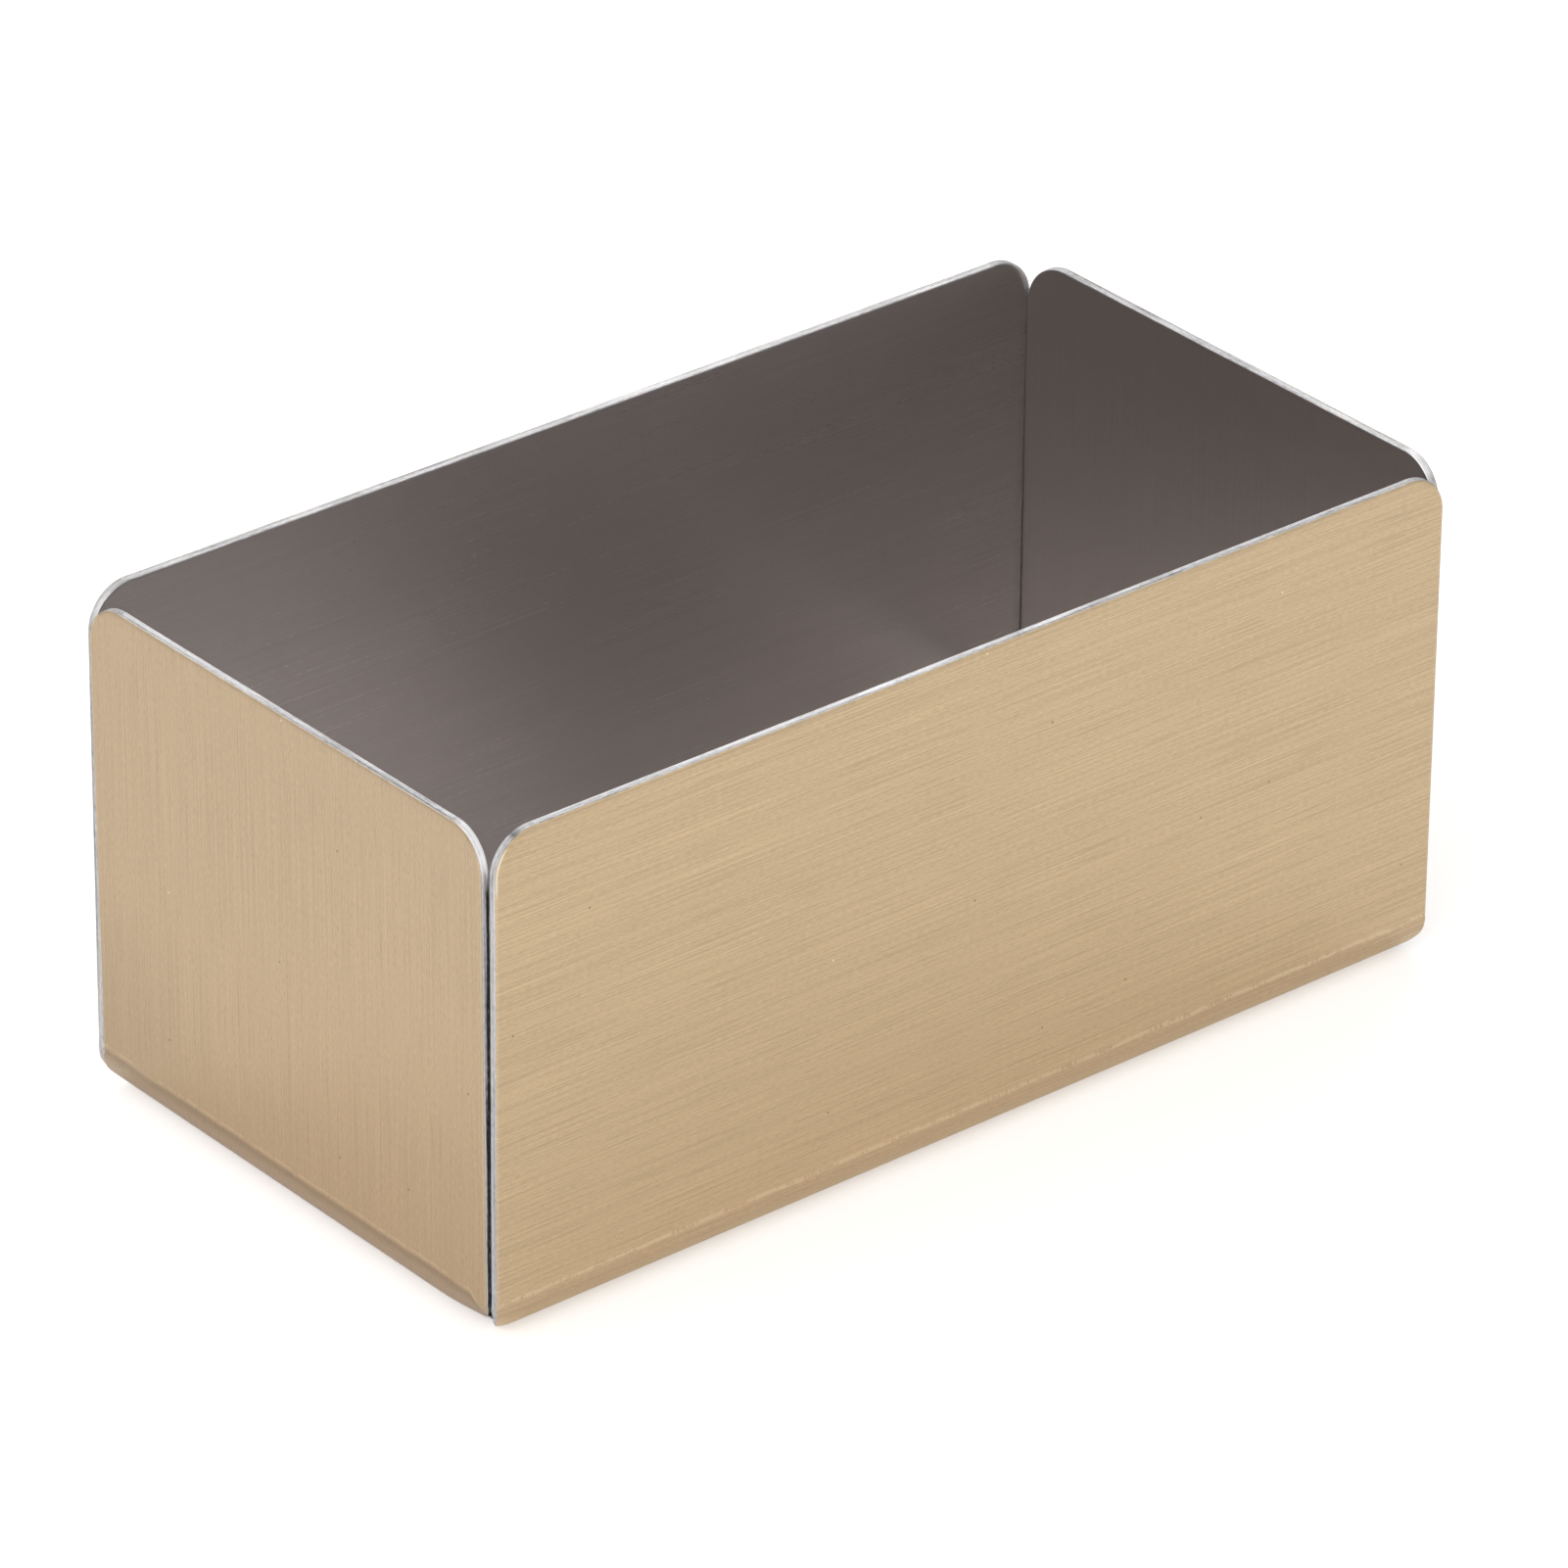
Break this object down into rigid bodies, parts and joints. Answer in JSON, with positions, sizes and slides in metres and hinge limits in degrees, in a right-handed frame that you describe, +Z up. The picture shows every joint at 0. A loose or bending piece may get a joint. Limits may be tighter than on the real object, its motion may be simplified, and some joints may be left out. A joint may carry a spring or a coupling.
{
  "type": "sugar packet holder",
  "caption": "Open-topped rectangular table box folded from one brushed steel sheet, coloured outside, bare inside, with rounded bottom bends and open corner seams, for sugar packets.",
  "frame": {"origin": "centre of the underside, on the surface that the box stands on", "axes": "+X along the box's length, -Y out of the front long wall, +Z up"},
  "size_m": [0.1142, 0.0604, 0.0522],
  "materials": {
    "bare_steel": "bare brushed stainless steel, grain along the box on the long walls and floor and upright on the end walls",
    "champagne_finish": "brushed champagne-gold coloured layer on the outside of the sheet",
    "champagne_bend_finish": "the same coloured layer, a little duller where the sheet was bent"
  },
  "bodies": {
    "root": {"floor_panel": "bare_steel", "front_wall": "bare_steel", "back_wall": "bare_steel", "left_end_wall": "bare_steel", "right_end_wall": "bare_steel", "front_bend": "bare_steel", "back_bend": "bare_steel", "left_bend": "bare_steel", "right_bend": "bare_steel", "floor_coloured_layer": "champagne_finish", "front_wall_coloured_layer": "champagne_finish", "back_wall_coloured_layer": "champagne_finish", "left_end_wall_coloured_layer": "champagne_finish", "right_end_wall_coloured_layer": "champagne_finish", "front_bend_coloured_layer": "champagne_bend_finish", "back_bend_coloured_layer": "champagne_bend_finish", "left_bend_coloured_layer": "champagne_bend_finish", "right_bend_coloured_layer": "champagne_bend_finish"}
  },
  "joints": []
}
